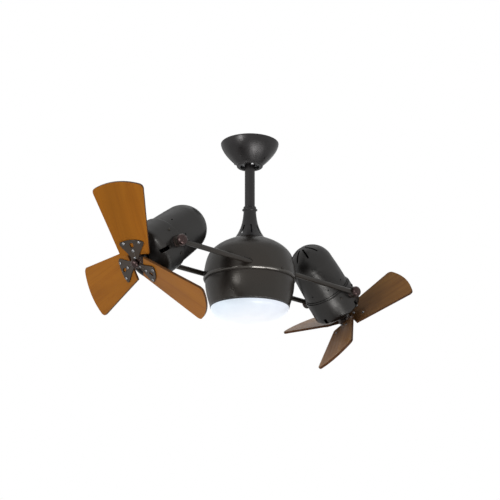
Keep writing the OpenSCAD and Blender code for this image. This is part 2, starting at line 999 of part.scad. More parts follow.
// Pivot bolts: domed cap outside the bar's eye, shank through the bush into the boss
module pivot_bolts() {
    shank_in = boss_in + 1;
    cap_y = bar_y + eye_t / 2 + 0.35;
    washer_y = boss_reach;
    cap_dome = curve(
        [cap_r - 0.6, cap_h * 0.52],
        [cap_r - 2, cap_h * 0.8],
        [cap_r * 0.55, cap_h],
        [0, cap_h],
        6);
    color(bronze)
        for (s = [0, 180])
            rotate([0, 0, s]) {
                along_y(bolt_r - 0.25, shank_in, washer_y + 0.5);
                along_y(bolt_r, washer_y + 0.4, cap_y + 0.5);
                translate([0, cap_y, 0])
                    rotate([-90, 0, 0])
                        rotate_extrude()
                            polygon(concat([[0, 0], [cap_r, 0], [cap_r, cap_h * 0.4]], cap_dome));
                difference() {
                    along_y(eye_r, washer_y + 0.02, washer_y + washer_t);
                    along_y(bolt_r + 0.1, washer_y - 1, washer_y + washer_t + 1);
                }
            }
}

// ---------- fans ----------

module rotor() {
    color([0.5, 0.5, 0.52])
        union() {
            translate([0, 0, rear_bearing_z - 4])
                cylinder(r = shaft_r, h = fan_z + 6 - rear_bearing_z);
            translate([0, 0, stack_z])
                cylinder(r = rotor_r, h = stack_h);
            for (z = [stack_z - 4, stack_z + stack_h - 0.2])
                tube(rotor_r - 1, rotor_r - 8, z, z + 4.2);
        }
}

// Hub clamped on the shaft, with three pitched pads that the blade irons bolt to
module hub() {
    color(bronze)
        difference() {
            union() {
                translate([0, 0, hub_front - hub_t])
                    cylinder(r = hub_r, h = hub_t);
                translate([0, 0, hub_front - hub_t - 8])
                    cylinder(r = 10, h = 9);
                for (i = [0:2])
                    on_blade(i * 120)
                        translate([8, -7, -6])
                            cube([9.5, 14, blade_t / 2 + 6]);
            }
            translate([0, 0, hub_front - hub_t - 10])
                cylinder(r = shaft_r + 0.02, h = hub_t + 12);
            for (i = [0:2])
                on_blade(i * 120) {
                    translate([hub_screw_x, 0, -8])
                        cylinder(r = 1.6, h = 20, $fn = 24);
                    translate([iron_tail_r - 0.3, -13, blade_t / 2 + 0.01])
                        cube([10, 26, 6]);
                }
        }
}

// Points of an arc round c from angle a to angle b
function arc_points(c, r, a, b, n) = [
    for (i = [0:n])
        let (t = a + (b - a) * i / n)
            c + r * [cos(t), sin(t)]
];

function mirrored(p) = [for (q = backwards(p)) [q[0], -q[1]]];

// Outline of a flat plate: side points, a round corner round c that is tangent to the last
// side, an end arc round [arc_x, 0], and the same again below the axis
function plate_points(side, c, corner, arc_x, arc_r) =
    let (
        d = c - side[len(side) - 1],
        first = atan2(d[1], d[0]) + asin(corner / norm(d)) + 90,
        last = atan2(c[1], c[0] - arc_x),
        upper = concat(side, arc_points(c, corner, first, last, corner_steps)),
        end = arc_points([arc_x, 0], arc_r, last, -last, end_steps)
    )
        concat(upper, [for (i = [1:end_steps - 1]) end[i]], mirrored(upper));

corner_steps = 10;
end_steps = 30;
tip_arc_x = fan_r - tip_arc_r;
tip_corner_y = tip_half_w - tip_corner_in;
tip_corner = [tip_arc_x + sqrt((tip_arc_r - tip_round_r)^2 - tip_corner_y^2), tip_corner_y];

module blade_outline() {
    polygon(plate_points([[root_r, root_half_w]], tip_corner, tip_round_r, tip_arc_x, tip_arc_r));
}

module on_blade(turn) {
    rotate([0, 0, turn])
        translate([0, 0, fan_z])
            rotate([blade_pitch, 0, 0])
                children();
}

module blade(turn) {
    color(wood)
        difference() {
            on_blade(turn)
                translate([0, 0, -blade_t / 2])
                    linear_extrude(blade_t)
                        blade_outline();
            on_blade(turn)
                for (p = blade_screws_at)
                    translate([p[0], p[1], -blade_t])
                        cylinder(r = 2.2, h = 2 * blade_t, $fn = 32);
        }
}

// Plate of a blade iron: a tongue that widens to a rounded triangle with a window
module iron_outline() {
    end_arc_r = 80;
    arc_x = iron_end_r - end_arc_r;
    corner = 5;
    c_y = iron_half_w - corner;
    c = [arc_x + sqrt((end_arc_r - corner)^2 - c_y^2), c_y];
    side = [[iron_tail_r, 7.5], [iron_neck_r, 14.2]];
    difference() {
        polygon(plate_points(side, c, corner, arc_x, end_arc_r));
        translate([44, 0])
            circle(r = 6, $fn = 32);
        translate([39, -6])
            square([5, 12]);
    }
}

module irons(turn) {
    plate_z = blade_t / 2 + 0.02;
    color(bronze)
        for (i = [0:2])
            on_blade(turn + i * 120)
                difference() {
                    translate([0, 0, plate_z])
                        linear_extrude(iron_t)
                            iron_outline();
                    for (p = concat(blade_screws_at, [[hub_screw_x, 0]]))
                        translate([p[0], p[1], plate_z - 1])
                            cylinder(r = 2.2, h = iron_t + 2, $fn = 32);
                }
}

module blade_screws(turn) {
    color(steel)
        for (i = [0:2]) {
            on_blade(turn + i * 120)
                for (p = blade_screws_at) {
                    translate([p[0], p[1], blade_t / 2 + iron_t + 0.05])
                        pan_screw(3.6, 2.4, 2.1, blade_t + iron_t + 1.5);
                    translate([p[0], p[1], -blade_t / 2 - 2.6])
                        difference() {
                            cylinder(r = 3.9, h = 2.5, $fn = 6);
                            translate([0, 0, -1])
                                cylinder(r = 2.12, h = 5, $fn = 24);
                        }
                }
            on_blade(turn + i * 120)
                translate([hub_screw_x, 0, blade_t / 2 + iron_t + 0.05])
                    pan_screw(2.9, 2, 1.55, 10);
        }
}

// Domed nut on the shaft's end
module nose_cap() {
    foot = fan_z + 2.2;
    color(bronze)
        difference() {
            translate([0, 0, foot])
                rotate_extrude()
                    polygon(concat(
                        [[0, 0], [7.2, 0], [7.2, 4]],
                        curve([7, 5], [6.4, 7.8], [3.6, 9.3], [0, 9.4], 6)));
            translate([0, 0, foot - 1])
                cylinder(r = shaft_r + 0.02, h = 3.9);
        }
}

// ---------- placed heads ----------

module left_rear_housing() { at_left_pivot() rear_housing(); }
module left_front_housing() { at_left_pivot() front_housing(); }
module left_housing_screws() { at_left_pivot() housing_screws(); }
module left_stator() { at_left_pivot() stator(); }
module left_windings() { at_left_pivot() windings(); }
module left_bearings() { at_left_pivot() head_bearings(); }
module left_pivot_bolts() { at_left_pivot() pivot_bolts(); }
module left_rotor() { at_left_pivot() rotor(); }
module left_hub() { at_left_pivot() rotate([0, 0, left_spin]) hub(); }
module left_blade(n) { at_left_pivot() blade(left_spin + 120 * n); }
module left_irons() { at_left_pivot() irons(left_spin); }
module left_blade_screws() { at_left_pivot() blade_screws(left_spin); }
module left_nose_cap() { at_left_pivot() nose_cap(); }

module right_rear_housing() { at_right_pivot() rear_housing(); }
module right_front_housing() { at_right_pivot() front_housing(); }
module right_housing_screws() { at_right_pivot() housing_screws(); }
module right_stator() { at_right_pivot() stator(); }
module right_windings() { at_right_pivot() windings(); }
module right_bearings() { at_right_pivot() head_bearings(); }
module right_pivot_bolts() { at_right_pivot() pivot_bolts(); }
module right_rotor() { at_right_pivot() rotor(); }
module right_hub() { at_right_pivot() rotate([0, 0, right_spin]) hub(); }
module right_blade(n) { at_right_pivot() blade(right_spin + 120 * n); }
module right_irons() { at_right_pivot() irons(right_spin); }
module right_blade_screws() { at_right_pivot() blade_screws(right_spin); }
module right_nose_cap() { at_right_pivot() nose_cap(); }

canopy();
canopy_screws();
hanger_bracket();
receiver_box();
hanger_ball();
ball_pin();
downrod();
rod_pin();
yoke_cover();
cover_screws();
spindle();
slip_rings();
spindle_nut();
bar_carrier();
carrier_bearings();
brush_block();
upper_dome();
lower_shell();
shell_screws();
near_bar();
far_bar();
bar_screws();
pivot_bushes();
lamp_tray();
tray_posts();
led_board();
led_driver();
glass_bowl();
glass_clips();
left_rear_housing();
left_front_housing();
left_housing_screws();
left_stator();
left_windings();
left_bearings();
left_pivot_bolts();
left_rotor();
left_hub();
left_blade(0);  // left_blade_1
left_blade(1);  // left_blade_2
left_blade(2);  // left_blade_3
left_irons();
left_blade_screws();
left_nose_cap();
right_rear_housing();
right_front_housing();
right_housing_screws();
right_stator();
right_windings();
right_bearings();
right_pivot_bolts();
right_rotor();
right_hub();
right_blade(0);  // right_blade_1
right_blade(1);  // right_blade_2
right_blade(2);  // right_blade_3
right_irons();
right_blade_screws();
right_nose_cap();
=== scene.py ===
# %% [markdown]
# # A twin head ceiling fan
# The fan hangs from a canopy on a short downrod. A lamp globe carries two parallel bars, and a
# bullet shaped motor head tilts at each end of them. Each head turns a three blade wooden
# propeller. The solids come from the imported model. This notebook gives them their finishes and
# builds the pieces whose charm lies in small detail: blades, screws, lamp and trim.

import json
import math

import bmesh
import bpy
from mathutils import Matrix, Vector


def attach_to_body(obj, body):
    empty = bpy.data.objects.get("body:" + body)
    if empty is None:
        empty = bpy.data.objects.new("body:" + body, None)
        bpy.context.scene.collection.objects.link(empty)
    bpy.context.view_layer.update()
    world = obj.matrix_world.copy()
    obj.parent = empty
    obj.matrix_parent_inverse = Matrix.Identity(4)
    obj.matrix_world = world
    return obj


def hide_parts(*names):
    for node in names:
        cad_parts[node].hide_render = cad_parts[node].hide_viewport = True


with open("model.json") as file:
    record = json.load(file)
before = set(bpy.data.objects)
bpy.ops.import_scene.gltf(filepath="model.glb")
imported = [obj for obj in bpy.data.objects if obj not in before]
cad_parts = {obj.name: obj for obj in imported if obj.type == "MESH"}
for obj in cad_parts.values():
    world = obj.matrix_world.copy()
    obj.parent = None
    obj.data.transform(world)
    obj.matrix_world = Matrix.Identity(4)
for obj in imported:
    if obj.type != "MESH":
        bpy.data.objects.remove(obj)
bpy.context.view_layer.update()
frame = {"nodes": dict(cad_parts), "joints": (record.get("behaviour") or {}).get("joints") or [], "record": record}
nodes = frame["nodes"]
joints = {j["name"]: j for j in frame["joints"]}
MM = 0.001

# %% [markdown]
# ## The camera
# The photograph was taken from below and to the left, about three metres away with a long lens.
# A camera is placed by its position and by the direction it looks in, and the two were fitted to
# the edges of the bars, blades and globe. The camera comes first, because every later choice is
# judged through it.


# %% Camera
def new_object(name, data):
    made = bpy.data.objects.new(name, data)
    bpy.context.scene.collection.objects.link(made)
    return made


camera_turn = math.radians(45.54)
camera_tilt = math.radians(17.41)
camera_reach = 3000.3 * MM
camera_height = -1223.5 * MM
sensor_mm, lens_mm = 36, 91.43
lens_shift = (0.0004, 0.001)
farthest = 60

look = Vector((
    math.sin(camera_turn) * math.cos(camera_tilt),
    math.cos(camera_turn) * math.cos(camera_tilt),
    math.sin(camera_tilt),
))
camera = new_object("camera", bpy.data.cameras.new("camera"))
camera.location = (
    -camera_reach * math.sin(camera_turn), -camera_reach * math.cos(camera_turn), camera_height)
camera.rotation_mode = "QUATERNION"
camera.rotation_quaternion = look.to_track_quat("-Z", "Y")
camera.data.sensor_width = sensor_mm
camera.data.lens = lens_mm
camera.data.shift_x, camera.data.shift_y = lens_shift
camera.data.clip_end = farthest
bpy.context.scene.camera = camera
bpy.context.scene.view_settings.view_transform = "Standard"
print("camera at", [round(v, 3) for v in camera.location])

# %% [markdown]
# ## Helpers for nodes
# World, materials and geometry trees are all built from nodes. A node is added and filled in one
# line: a keyword that names an input fills that input, with a constant or with another node's
# socket, and any other keyword is a setting of the node itself.


# %% Add a node and fill its inputs
def fill(tree, socket, value):
    if isinstance(value, bpy.types.NodeSocket):
        tree.links.new(value, socket)
    else:
        socket.default_value = value


def add(tree, kind, **inputs):
    made = tree.nodes.new(kind)
    for key, value in inputs.items():
        name = key.replace("_", " ")
        if name in made.inputs:
            fill(tree, made.inputs[name], value)
        else:
            setattr(made, key, value)
    return made


def combine(tree, operation, *values):
    """The result of a maths node whose inputs are filled in order."""
    made = add(tree, "ShaderNodeMath", operation=operation)
    for socket, value in zip(made.inputs, values):
        fill(tree, socket, value)
    return made.outputs[0]


def combine_vectors(tree, operation, *values):
    """The same for vectors. A dot product or a length comes out as a plain value."""
    made = add(tree, "ShaderNodeVectorMath", operation=operation)
    for socket, value in zip(made.inputs, values):
        fill(tree, socket, value)
    return made.outputs["Value" if operation in ("DOT_PRODUCT", "LENGTH") else "Vector"]


def looked_at(tree):
    """One for what the camera sees, straight, mirrored or through glass, and nought for light."""
    rays = add(tree, "ShaderNodeLightPath").outputs
    straight_or_mirrored = combine(tree, "MAXIMUM", rays["Is Camera Ray"], rays["Is Glossy Ray"])
    return combine(tree, "MAXIMUM", straight_or_mirrored, rays["Is Transmission Ray"])


# %% [markdown]
# ## A plain studio
# The fan was photographed against white. The floor lies far below, so that it never hides the
# underside, and a glow that lights nothing else keeps it pale. The world is white to the camera
# and in reflections, and gives everything else an even neutral light. Three lamps make the
# highlights that the photograph shows: a tall one at the left, a low one in front and a narrow
# one beside it. Their places were worked out by reflecting the camera's rays off the globe, the
# canopy and the right can. Two weak ones keep the top and the back from going flat.

# %% World
world = bpy.data.worlds.new("studio")
bpy.context.scene.world = world
world.use_nodes = True
sky = world.node_tree
sky.nodes.clear()
ambient_strength = 0.27
ambient = add(
    sky, "ShaderNodeBackground", Color=(0.97, 0.98, 1.0, 1), Strength=ambient_strength)
white = add(sky, "ShaderNodeBackground", Color=(1, 1, 1, 1), Strength=1.0)
choice = add(sky, "ShaderNodeMixShader")
for socket, value in zip(choice.inputs, (looked_at(sky), ambient.outputs[0], white.outputs[0])):
    fill(sky, socket, value)
add(sky, "ShaderNodeOutputWorld", Surface=choice.outputs[0])
print("the world has", len(sky.nodes), "nodes")

# %% Floor
floor_depth = 3.7
floor_half = 9.0
floor_glow = 0.5
floor_corners = [(x * floor_half, y * floor_half, -floor_depth)
                 for x, y in ((-1, -1), (1, -1), (1, 1), (-1, 1))]
floor_mesh = bpy.data.meshes.new("floor")
floor_mesh.from_pydata(floor_corners, [], [(0, 1, 2, 3)])
floor = new_object("floor", floor_mesh)
pale = bpy.data.materials.new("pale_floor")
pale.use_nodes = True
tree = pale.node_tree
surface = tree.nodes["Principled BSDF"]
surface.inputs["Base Color"].default_value = (0.9, 0.9, 0.89, 1)
surface.inputs["Roughness"].default_value = 0.8
surface.inputs["Emission Color"].default_value = (1, 1, 1, 1)
fill(tree, surface.inputs["Emission Strength"],
     combine(tree, "MULTIPLY", looked_at(tree), floor_glow))
floor_mesh.materials.append(pale)
print("the floor lies", floor_depth, "m below the ceiling")

# %% Lamps: bearing and height in degrees, size in metres, power in watts
lamps = (
    ("key", -173, -9, (0.8, 1.4), 50),
    ("low", -109, -52, (1.25, 0.6), 33),
    ("strip", -74, -43.5, (1.7, 0.4), 15),
    ("top", 60, 72, (2.4, 2.4), 6.5),
    ("back", 35, 20, (1.6, 1.6), 6),
)
lamp_reach = 3.0
middle = Vector((0, 0, -0.33))


def softbox(name, turn, rise, size, power):
    turn, rise = math.radians(turn), math.radians(rise)
    flat = lamp_reach * math.cos(rise)
    data = bpy.data.lights.new(name, "AREA")
    data.shape = "RECTANGLE"
    data.size, data.size_y = size
    data.energy = power
    lamp = new_object(name, data)
    place = middle + Vector(
        (flat * math.cos(turn), flat * math.sin(turn), lamp_reach * math.sin(rise)))
    lamp.location = place
    lamp.rotation_mode = "QUATERNION"
    lamp.rotation_quaternion = (middle - place).to_track_quat("-Z", "Y")


for row in lamps:
    softbox(*row)

# %% [markdown]
# ## Finishes
# Nearly all the metal is one dark bronze lacquer. It is almost black, a little warm, satin rather
# than glossy, and it has the faint orange peel of sprayed paint. Noise at three scales does this:
# a broad one for tone, a middle one for roughness and a fine one for the surface. The pattern is
# read from Object coordinates, in metres, so its scale is the real one on every piece.


# %% A base for all finishes
def finish(name, colour, roughness, metallic=0.0, **extra):
    material = bpy.data.materials.new(name)
    material.use_nodes = True
    tree = material.node_tree
    surface = tree.nodes["Principled BSDF"]
    surface.inputs["Base Color"].default_value = (*colour, 1)
    surface.inputs["Roughness"].default_value = roughness
    surface.inputs["Metallic"].default_value = metallic
    for key, value in extra.items():
        surface.inputs[key.replace("_", " ")].default_value = value
    place = add(tree, "ShaderNodeTexCoord").outputs["Object"]
    return material, tree, surface, place


def noise(tree, place, scale, detail):
    made = add(
        tree, "ShaderNodeTexNoise", Vector=place, Scale=scale, Detail=detail, Roughness=0.55)
    return made.outputs["Fac"]


def spread(tree, value, low, high, start=0.3, end=0.7):
    """Take what lies between start and end to between low and high."""
    made = add(
        tree, "ShaderNodeMapRange",
        Value=value, From_Min=start, From_Max=end, To_Min=low, To_Max=high)
    return made.outputs["Result"]


def blend_colours(tree, factor, first, second):
    made = add(tree, "ShaderNodeMix", data_type="RGBA", Factor=factor)
    for socket, value in ((made.inputs[6], first), (made.inputs[7], second)):
        fill(tree, socket, (*value, 1) if isinstance(value, tuple) else value)
    return made.outputs[2]


def bump(tree, surface, height, distance, strength, normal=None):
    """Raise the surface by distance where height is one, over a given normal if there is one."""
    made = add(tree, "ShaderNodeBump", Height=height, Distance=distance, Strength=strength)
    if normal is not None:
        fill(tree, made.inputs["Normal"], normal)
    fill(tree, surface.inputs["Normal"], made.outputs["Normal"])


# %% Dark bronze lacquer, rubbed a little paler along its edges
plain_tone, warm_tone = (0.0105, 0.0088, 0.0074), (0.0145, 0.0108, 0.0085)
edge_width = 0.7 * MM
rubbed_by = 2.2


def bronze_lacquer(name, tone, warm, roughness, gloss=0.44, tint=(1.0, 0.95, 0.88)):
    material, tree, surface, place = finish(name, tone, roughness, Specular_Tint=(*tint, 1))
    grazing = add(tree, "ShaderNodeLayerWeight", Blend=0.5).outputs["Facing"]
    level = spread(tree, grazing, gloss, 0.08 * gloss, start=0.25, end=0.8)
    fill(tree, surface.inputs["Specular IOR Level"], level)
    broad = noise(tree, place, 9.0, 2.0)
    cloud = noise(tree, place, 60.0, 4.0)
    grain = noise(tree, place, 900.0, 2.0)
    base = blend_colours(tree, spread(tree, broad, 0, 1), tone, warm)
    rounded = add(tree, "ShaderNodeBevel", Radius=edge_width, samples=4).outputs["Normal"]
    flat = add(tree, "ShaderNodeNewGeometry").outputs["Normal"]
    facing = combine_vectors(tree, "DOT_PRODUCT", rounded, flat)
    edge = spread(tree, facing, 0.55, 0.0, start=0.75, end=0.99)
    rubbed = blend_colours(tree, edge, base, tuple(rubbed_by * c for c in warm))
    fill(tree, surface.inputs["Base Color"], rubbed)
    fill(tree, surface.inputs["Roughness"],
         spread(tree, cloud, roughness - 0.05, roughness + 0.07))
    bump(tree, surface, grain, 0.06 * MM, strength=0.25, normal=rounded)
    return material


bronze = bronze_lacquer("dark_bronze_lacquer", plain_tone, warm_tone, roughness=0.31)
cast_bronze = bronze_lacquer(
    "dark_bronze_on_casting", (0.0100, 0.0094, 0.0092), (0.0125, 0.0110, 0.0102),
    roughness=0.34, gloss=0.40, tint=(1.0, 0.98, 0.95))
# A darker copy of the same lacquer for the rod, the flared cover, the canopy and its screws: painted shade.
shaded_tube_bronze = bronze_lacquer(
    "bronze_on_tube_darkened_as_painted_shade", (0.0075, 0.0070, 0.0074), (0.0095, 0.0084, 0.0084),
    roughness=0.31, gloss=0.38, tint=(1.0, 0.97, 0.97))
iron_bronze = bronze_lacquer(
    "dark_bronze_on_irons", (0.0205, 0.0138, 0.0098), (0.0250, 0.0158, 0.0105),
    roughness=0.31, gloss=0.46)
hub_bronze = bronze_lacquer(
    "dark_bronze_on_hubs", (0.0340, 0.0215, 0.0185), (0.0420, 0.0255, 0.0215),
    roughness=0.30, gloss=0.60)
rolled_edge = bronze_lacquer(
    "lacquer_on_rolled_edges", plain_tone, warm_tone, roughness=0.15, gloss=0.85)
print("lacquers:", [m.name for m in (bronze, cast_bronze, shaded_tube_bronze, iron_bronze, hub_bronze)])


# %% Bare metals
def bare_metal(name, colour, roughness, brushed=400.0):
    material, tree, surface, place = finish(name, colour, roughness, metallic=1.0)
    fine = noise(tree, place, brushed, 3.0)
    tone = noise(tree, place, 35.0, 3.0)
    darker = tuple(0.72 * c for c in colour)
    fill(tree, surface.inputs["Base Color"],
         blend_colours(tree, spread(tree, tone, 0, 1), darker, colour))
    fill(tree, surface.inputs["Roughness"], spread(tree, fine, roughness - 0.06, roughness + 0.1))
    bump(tree, surface, fine, 0.03 * MM, strength=0.4)
    return material


zinc = bare_metal("zinc_plate", (0.26, 0.262, 0.27), 0.34)
bright_zinc = bare_metal("bright_zinc_plate", (0.86, 0.86, 0.87), 0.25)
aluminium = bare_metal("cast_aluminium", (0.60, 0.61, 0.62), 0.45, brushed=220.0)
copper = bare_metal("enamelled_copper", (0.62, 0.27, 0.12), 0.28)
laminations = bare_metal("stacked_laminations", (0.22, 0.22, 0.235), 0.50, brushed=1400.0)
knob_metal = bare_metal("rubbed_copper_bronze", (0.062, 0.042, 0.040), 0.30)
dark_steel = bare_metal("blackened_steel", (0.030, 0.030, 0.032), 0.38)


# %% Plastics and enamels
def moulding(name, colour, roughness, texture=700.0):
    material, tree, surface, place = finish(name, colour, roughness)
    tone = noise(tree, place, 25.0, 2.0)
    fine = noise(tree, place, texture, 2.0)
    darker = tuple(0.86 * c for c in colour)
    fill(tree, surface.inputs["Base Color"],
         blend_colours(tree, spread(tree, tone, 0, 1), darker, colour))
    fill(tree, surface.inputs["Roughness"], spread(tree, fine, roughness - 0.05, roughness + 0.08))
    bump(tree, surface, fine, 0.04 * MM, strength=0.5)
    return material


black_plastic = moulding("black_nylon", (0.025, 0.025, 0.027), 0.5)
white_plastic = moulding("white_board", (0.78, 0.79, 0.76), 0.45)
enamel = moulding("white_enamel", (0.86, 0.87, 0.87), 0.25, texture=300.0)
print("materials so far:", len(bpy.data.materials))

# %% [markdown]
# ## Give every solid its finish
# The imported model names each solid, and the record says which finish slot it belongs to. A table
# from slot to material covers all of them at once. The glass and the wood in it are only
# stand-ins: the bowl and the blades are built anew further on, with materials of their own.

# %% Solids and their materials
by_slot = {
    "bronze": bronze, "bronze_cast": cast_bronze, "steel": zinc, "cast_aluminium": aluminium,
    "lamination": laminations, "copper": copper, "black_plastic": black_plastic,
    "white_plastic": white_plastic, "white_metal": enamel, "glass": enamel, "wood": enamel,
}
by_name = {
    "spindle": dark_steel, "rod_pin": dark_steel, "spindle_nut": dark_steel,
    # The rod, the flared cover and the canopy take the darker copy of the lacquer, painted shade.
    "canopy": shaded_tube_bronze, "downrod": shaded_tube_bronze, "yoke_cover": shaded_tube_bronze,
    "left_hub": hub_bronze, "right_hub": hub_bronze,
}
for entry in frame["record"]["subparts"]:
    solid = nodes[entry["node"]]
    solid.data.materials.clear()
    solid.data.materials.append(by_name.get(entry["node"], by_slot[entry["material_slot"]]))

# %% [markdown]
# ## Helpers for meshes
# Every new piece is drawn where it belongs, with its place in its mesh and its object at the
# origin, just as the solids are. Three helpers do most of the work: one turns a bmesh into an
# object, one spins a profile round the Z axis, and one ties a finished piece to its body.

# %% From bmesh to object
usual_sharp, plate_sharp, dome_sharp = 35.0, 40, 50


def make_object(name, mesh_tool, material, sharp=usual_sharp):
    bmesh.ops.recalc_face_normals(mesh_tool, faces=mesh_tool.faces)
    mesh = bpy.data.meshes.new(name)
    mesh_tool.to_mesh(mesh)
    mesh_tool.free()
    mesh.materials.append(material)
    mesh.polygons.foreach_set("use_smooth", [True] * len(mesh.polygons))
    mesh.set_sharp_from_angle(angle=math.radians(sharp))
    return new_object(name, mesh)


# %% Rings of vertices, joined by faces
def bridge(tool, first, second):
    """Faces from one ring to the next, with triangles where a ring is a single point."""
    for i in range(len(first)):
        j = (i + 1) % len(first)
        corners = []
        for v in (first[i], first[j], second[j], second[i]):
            if v not in corners:
                corners.append(v)
        if len(corners) > 2:
            tool.faces.new(corners)


def bridge_round(tool, rings):
    for first, second in zip(rings, rings[1:] + rings[:1]):
        bridge(tool, first, second)


def spin(profile, steps, tool=None):
    """Spin a closed profile of (radius, height) in millimetres round Z."""
    tool = tool or bmesh.new()
    rings = []
    for r, z in profile:
        if r == 0:
            rings.append([tool.verts.new((0, 0, z * MM))] * steps)
            continue
        ring = []
        for i in range(steps):
            a = 2 * math.pi * i / steps
            ring.append(tool.verts.new((r * MM * math.cos(a), r * MM * math.sin(a), z * MM)))
        rings.append(ring)
    bridge_round(tool, rings)
    return tool


def plate(outline, low, high, soften, segments=2):
    """A flat plate between two heights with softened rims, in millimetres."""
    tool = bmesh.new()
    bottom, top = ([tool.verts.new((p[0] * MM, p[1] * MM, z * MM)) for p in outline]
                   for z in (low, high))
    tool.faces.new(bottom)
    tool.faces.new(top)
    bridge(tool, bottom, top)
    rims = [e for e in tool.edges if abs(e.verts[0].co.z - e.verts[1].co.z) < 1e-9]
    bmesh.ops.bevel(
        tool, geom=rims, offset=soften * MM, segments=segments, affect="EDGES",
        clamp_overlap=True)
    return tool


# %% Curves for profiles
def sweep(a, b, c, d, steps):
    """Points of a cubic curve from a to d, the way the solids' walls are drawn."""
    points = []
    for i in range(steps + 1):
        t = i / steps
        k = (1 - t) ** 3, 3 * (1 - t) ** 2 * t, 3 * (1 - t) * t * t, t ** 3
        points.append(tuple(sum(w * p[axis] for w, p in zip(k, (a, b, c, d))) for axis in (0, 1)))
    return points


def inset(points, wall):
    """The same curve, given outside first from top to bottom, moved in by a wall's thickness."""
    moved_in = []
    for i, (r, z) in enumerate(points):
        before, after = points[max(i - 1, 0)], points[min(i + 1, len(points) - 1)]
        dr, dz = after[0] - before[0], after[1] - before[1]
        length = math.hypot(dr, dz)
        moved_in.append((r + wall * dz / length, z - wall * dr / length))
    return moved_in


def arc(cx, cz, r, start, end, steps):
    """Points of an arc between two angles in degrees."""
    angles = [math.radians(start + (end - start) * i / steps) for i in range(steps + 1)]
    return [(cx + r * math.cos(a), cz + r * math.sin(a)) for a in angles]


# %% Tie a finished piece to its body
def attach(piece, body, slot_name, *stands_for):
    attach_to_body(piece, body)
    if stands_for:
        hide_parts(*stands_for)


# %% Where each motor head sits: local Z runs along its shaft, local Y along its pivot
head_place = {}
for side in ("left", "right"):
    spin_joint, tilt_joint = joints[side + "_spin"], joints[side + "_tilt"]
    along = Vector(spin_joint["axis"]).normalized()
    across = -Vector(tilt_joint["axis"]).normalized()
    up = across.cross(along)
    place = Matrix((up, across, along)).transposed().to_4x4()
    place.translation = Vector(tilt_joint["pos_m"])
    head_place[side] = place
    print(side, "head axis", [round(v, 3) for v in along])

# %% [markdown]
# ## Two node trees for what repeats
# Screws, nuts and blade irons come in rings. One geometry node tree places any number of copies
# of a part round the Z axis. A second puts copies on the points of a mesh. Both end by making the
# copies real and giving them a material, and the result is read back as a plain mesh, so nothing
# live is left on the finished piece.


# %% Start and end of a geometry tree
def start_tree(name, sockets):
    tree = bpy.data.node_groups.new(name, "GeometryNodeTree")
    tree.interface.new_socket("Geometry", in_out="OUTPUT", socket_type="NodeSocketGeometry")
    tree.interface.new_socket("Geometry", in_out="INPUT", socket_type="NodeSocketGeometry")
    for label, kind in sockets:
        tree.interface.new_socket(label, in_out="INPUT", socket_type="NodeSocket" + kind)
    return tree, add(tree, "NodeGroupInput").outputs


def end_tree(tree, geometry, material):
    real = add(tree, "GeometryNodeRealizeInstances", Geometry=geometry)
    painted = add(tree, "GeometryNodeSetMaterial", Geometry=real.outputs[0], Material=material)
    add(tree, "NodeGroupOutput", Geometry=painted.outputs[0])


# %% Tree one: copies in a ring round Z
ring_tree, ask = start_tree("ring_of_parts", [
    ("Part", "Object"), ("Count", "Int"), ("Radius", "Float"), ("Height", "Float"),
    ("Start", "Float"), ("Lean", "Float"), ("Finish", "Material")])
spots = add(ring_tree, "GeometryNodePoints", Count=ask["Count"])
number = add(ring_tree, "GeometryNodeInputIndex").outputs[0]
step = combine(ring_tree, "DIVIDE", 2 * math.pi, ask["Count"])
angle = combine(ring_tree, "MULTIPLY_ADD", number, step, ask["Start"])
cosine = combine(ring_tree, "COSINE", angle)
sine = combine(ring_tree, "SINE", angle)
flat = add(ring_tree, "ShaderNodeCombineXYZ", X=cosine, Y=sine).outputs[0]
out = add(
    ring_tree, "ShaderNodeVectorMath", operation="SCALE", Vector=flat, Scale=ask["Radius"])
lift = add(ring_tree, "ShaderNodeCombineXYZ", Z=ask["Height"]).outputs[0]
spot = combine_vectors(ring_tree, "ADD", out.outputs[0], lift)
placed = add(
    ring_tree, "GeometryNodeSetPosition", Geometry=spots.outputs[0], Position=spot).outputs[0]
lean = add(ring_tree, "ShaderNodeCombineXYZ", Y=ask["Lean"], Z=angle).outputs[0]
part = add(ring_tree, "GeometryNodeObjectInfo", Object=ask["Part"]).outputs["Geometry"]
copies = add(
    ring_tree, "GeometryNodeInstanceOnPoints", Points=placed, Instance=part, Rotation=lean)
end_tree(ring_tree, copies.outputs[0], ask["Finish"])
print("the ring tree has", len(ring_tree.nodes), "nodes")

# %% Tree two: copies on the points of a mesh
point_tree, ask = start_tree("parts_on_points", [("Part", "Object"), ("Finish", "Material")])
part = add(point_tree, "GeometryNodeObjectInfo", Object=ask["Part"]).outputs["Geometry"]
copies = add(point_tree, "GeometryNodeInstanceOnPoints", Points=ask["Geometry"], Instance=part)
end_tree(point_tree, copies.outputs[0], ask["Finish"])
print("the point tree has", len(point_tree.nodes), "nodes")


# %% Run a tree and read the result back
def grow(name, tree, inputs, points=((0, 0, 0),)):
    base = bpy.data.meshes.new(name)
    base.from_pydata([tuple(p) for p in points], [], [])
    holder = new_object(name, base)
    live = holder.modifiers.new("grow", "NODES")
    live.node_group = tree
    sockets = {s.name: s.identifier for s in tree.interface.items_tree if s.in_out == "INPUT"}
    for label, value in inputs.items():
        live[sockets[label]] = value
    evaluated = holder.evaluated_get(bpy.context.evaluated_depsgraph_get())
    mesh = bpy.data.meshes.new_from_object(evaluated)
    holder.modifiers.remove(live)
    holder.data = mesh
    mesh.name = name
    mesh.set_sharp_from_angle(angle=math.radians(usual_sharp))
    return holder


def ring_of(name, part, count, radius=0.0, height=0.0, start=0.0, lean=0.0, material=None):
    return grow(name, ring_tree, {
        "Part": part, "Count": count, "Radius": radius * MM, "Height": height * MM,
        "Start": math.radians(start), "Lean": math.radians(lean),
        "Finish": material or part.data.materials[0]})


# %% Drop, move and join pieces
def drop(*parts):
    for part in parts:
        bpy.data.objects.remove(part)


def moved(piece, matrix):
    piece.data.transform(matrix)
    return piece


